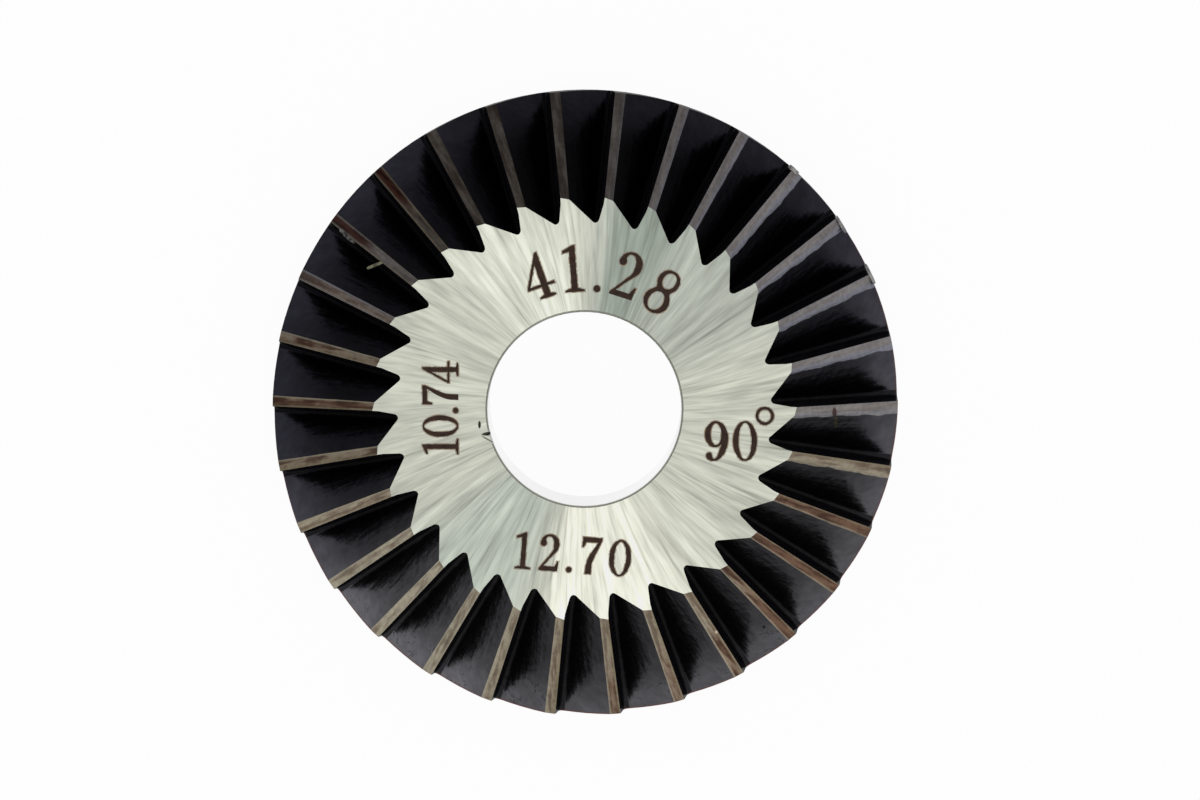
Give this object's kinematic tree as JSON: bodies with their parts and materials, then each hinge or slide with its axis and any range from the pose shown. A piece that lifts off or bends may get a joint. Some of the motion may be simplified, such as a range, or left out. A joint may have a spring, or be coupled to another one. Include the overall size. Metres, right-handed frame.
{
  "type": "valve seat cutter",
  "caption": "Bored steel disc cutter with a 45 degree cone of milled teeth for recutting the seats of engine valves.",
  "frame": {"origin": "centre of the flat back face, on the bore's axis", "axes": "+Z along the bore, from the large back face to the small front face; +X to the right and +Y up as the front face is seen in the picture"},
  "size_m": [0.0412, 0.0412, 0.0107],
  "materials": {
    "tool_steel": "blackened, with ground faces and lands"
  },
  "bodies": {
    "root": {"seat_cutter": "tool_steel"}
  },
  "joints": []
}
